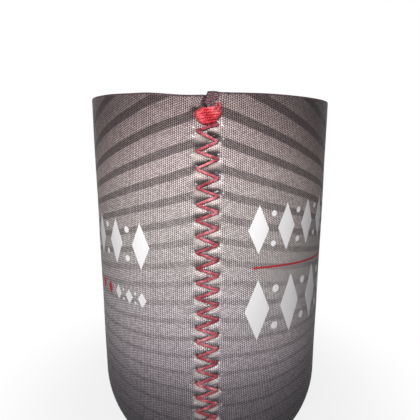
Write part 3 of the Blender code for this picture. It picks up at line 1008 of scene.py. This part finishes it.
def base_object(material, foam):
    """The base: a black laminate disc whose edge follows the wall's inner face, slightly dished."""
    profile = base_profile()
    verts = [(0.0, 0.0, profile[0][1])]
    for radius, height, _ in profile[1:-1]:
        for k in range(BASE_SIDES):
            turn = 2 * math.pi * k / BASE_SIDES
            verts.append((radius * math.sin(turn), -radius * math.cos(turn), height))
    verts.append((0.0, 0.0, profile[-1][1]))
    faces, layers = [], []
    last = len(verts) - 1
    last_ring = 1 + (len(profile) - 3) * BASE_SIDES
    for k in range(BASE_SIDES):
        after = (k + 1) % BASE_SIDES
        faces.append((0, 1 + after, 1 + k))
        layers.append(0)
        for row in range(len(profile) - 3):
            a, b = 1 + row * BASE_SIDES, 1 + (row + 1) * BASE_SIDES
            faces.append((a + k, a + after, b + after, b + k))
            layers.append(profile[row + 2][2])
        faces.append((last, last_ring + k, last_ring + after))
        layers.append(0)
    mesh = bpy.data.meshes.new("base_laminate")
    mesh.from_pydata(verts, [], faces)
    mesh.materials.append(material)
    mesh.materials.append(foam)
    mesh.polygons.foreach_set("material_index", np.array(layers, np.int32))
    uv = mesh.uv_layers.new(name="cloth")
    for loop in mesh.loops:
        x, y, _ = mesh.vertices[loop.vertex_index].co
        uv.data[loop.index].uv = (x / MM, y / MM)
    return mesh_object("base_laminate", mesh, sharp_degrees=50)


def place_piece(piece, slot, *nodes):
    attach(piece, "root")
    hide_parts(*nodes)


# Where the outer and the inner thread lie in the wall, and how far they dive at each needle hole
OUTER_LEVEL, OUTER_DIVE = 0.02 * MM, 1.0 * MM
INNER_LEVEL, INNER_DIVE = WALL + 0.12 * MM, -1.0 * MM


def build_seam(place, turn, holes, seed, thread, tack_thread):
    """Outer thread, inner thread and bar tack of one seam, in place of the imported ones."""
    for suffix, paths, radius, material in (
        ("needle_thread", [stitch_path(turn, holes, OUTER_LEVEL, OUTER_DIVE)], THREAD_RADIUS, thread),
        ("bobbin_thread", [stitch_path(turn, holes, INNER_LEVEL, INNER_DIVE)], THREAD_RADIUS, thread),
        ("bar_tack", tack_paths(turn, seed), TACK_THREAD_RADIUS, tack_thread),
    ):
        piece = twisted_thread(place + "_" + suffix + "_twist", paths, radius, material)
        place_piece(piece, "seam_thread", place + "_" + suffix)


THREAD_REDS = (linear(78, 13, 26), linear(188, 66, 83), linear(250, 178, 188))
TACK_REDS = (linear(102, 0, 17), linear(199, 24, 47), linear(255, 144, 152))
FRONT_SEED, BACK_SEED = 11, 23
FRONT_TACK_SEED, BACK_TACK_SEED = 5, 6


def build_sleeve():
    lining = knit_material("lining_knit")
    foam = foam_material("cut_foam")
    thread = thread_material("red_thread", *THREAD_REDS)
    tack_thread = thread_material("tack_thread", *TACK_REDS)
    front, back = stitch_holes(FRONT_SEED), stitch_holes(BACK_SEED)
    for name, side, bands in (("panel_left", -1, LEFT_BANDS), ("panel_right", 1, RIGHT_BANDS)):
        knit = knit_material(name + "_knit", bands)
        piece = panel_object(name + "_laminate", side, front, back, (knit, foam, lining))
        place_piece(piece, "knit_laminate", name)
    base = base_object(lining, foam)
    place_piece(base, "base_laminate", "base_disc")
    build_seam("front", 0.0, front, FRONT_TACK_SEED, thread, tack_thread)
    build_seam("back", math.pi, back, BACK_TACK_SEED, thread, tack_thread)


# Stage: the floor keeps a share of the sleeve's shadow from the near radius out to the far one
FLOOR_HALF_SIZE = 3.0
FLOOR_DROP = 0.05 * MM
FLOOR_COLOUR = (0.18, 0.18, 0.18, 1.0)
FLOOR_FADE, NEAR_WHITE = (0.035, 0.09), 0.85
AMBIENT = 0.031

# Lamps, as (name, place, size, power)
LAMP_TARGET = (0.0, 0.0, 0.05)
LAMPS = (
    ("front_lamp", (-0.014, -0.135, 0.125), 0.045, 0.185),
    ("top_lamp", (0.0, 0.05, 0.75), 0.4, 1.6),
    ("left_back_lamp", (-0.30, 0.48, 0.22), 0.3, 1.65),
    ("right_back_lamp", (0.30, 0.48, 0.22), 0.3, 1.65),
)


def floor_material():
    """Pale floor that keeps the sleeve's soft shadow near it and is white further off."""
    nodes = Nodes(bpy.data.materials.new("pale_floor"))
    diffuse = nodes.add("ShaderNodeBsdfDiffuse")
    diffuse.inputs["Color"].default_value = FLOOR_COLOUR
    white = nodes.add("ShaderNodeEmission")
    length = nodes.add("ShaderNodeVectorMath", operation="LENGTH")
    nodes.feed(length.inputs[0], nodes.add("ShaderNodeTexCoord").outputs["Object"])
    far = nodes.step(length.outputs["Value"], *FLOOR_FADE, NEAR_WHITE, 1.0)
    mix = nodes.add("ShaderNodeMixShader")
    nodes.feed(mix.inputs[0], nodes.math("MULTIPLY", nodes.seen(), far))
    nodes.feed(mix.inputs[1], diffuse.outputs[0])
    nodes.feed(mix.inputs[2], white.outputs[0])
    return nodes.output(mix)


def build_floor():
    mesh = bpy.data.meshes.new("floor")
    half = FLOOR_HALF_SIZE
    corners = [(-half, -half, 0), (half, -half, 0), (half, half, 0), (-half, half, 0)]
    mesh.from_pydata(corners, [], [(0, 1, 2, 3)])
    mesh.materials.append(floor_material())
    floor = bpy.data.objects.new("floor", mesh)
    floor.location.z = -FLOOR_DROP
    bpy.context.collection.objects.link(floor)


def build_world():
    """White to the camera, and a dim even light on the sleeve."""
    world = bpy.data.worlds.new("studio")
    bpy.context.scene.world = world
    nodes = Nodes(world)
    background = nodes.add("ShaderNodeBackground")
    background.inputs["Color"].default_value = (1.0, 1.0, 1.0, 1.0)
    strength = nodes.math("MULTIPLY_ADD", nodes.seen(), 1.0 - AMBIENT, AMBIENT)
    nodes.feed(background.inputs["Strength"], strength)
    nodes.output(background, "ShaderNodeOutputWorld")


def build_lamps():
    """A frontal lamp like the one beside a lens, and softer ones above and behind."""
    for name, place, size, power in LAMPS:
        lamp = bpy.data.lights.new(name, "AREA")
        lamp.shape = "DISK"
        lamp.size = size
        lamp.energy = power
        item = bpy.data.objects.new(name, lamp)
        item.location = place
        item.rotation_euler = (Vector(LAMP_TARGET) - Vector(place)).to_track_quat("-Z", "Y").to_euler()
        bpy.context.collection.objects.link(item)


def build_camera():
    camera = bpy.data.cameras.new("camera")
    camera.lens = CAMERA_LENS
    camera.sensor_width = 36.0
    camera.clip_start = 0.005
    item = bpy.data.objects.new("camera", camera)
    place = Vector((0.0, -CAMERA_DISTANCE, CAMERA_HEIGHT))
    turn = Matrix.Rotation(CAMERA_TURN, 4, "Z")
    tilt = Matrix.Rotation(math.pi / 2 - CAMERA_PITCH, 4, "X")
    item.matrix_world = turn @ Matrix.Translation(place) @ tilt
    bpy.context.collection.objects.link(item)
    bpy.context.scene.camera = item


build_camera()
build_sleeve()
build_floor()
build_world()
build_lamps()
bpy.context.scene.view_settings.view_transform = "Standard"
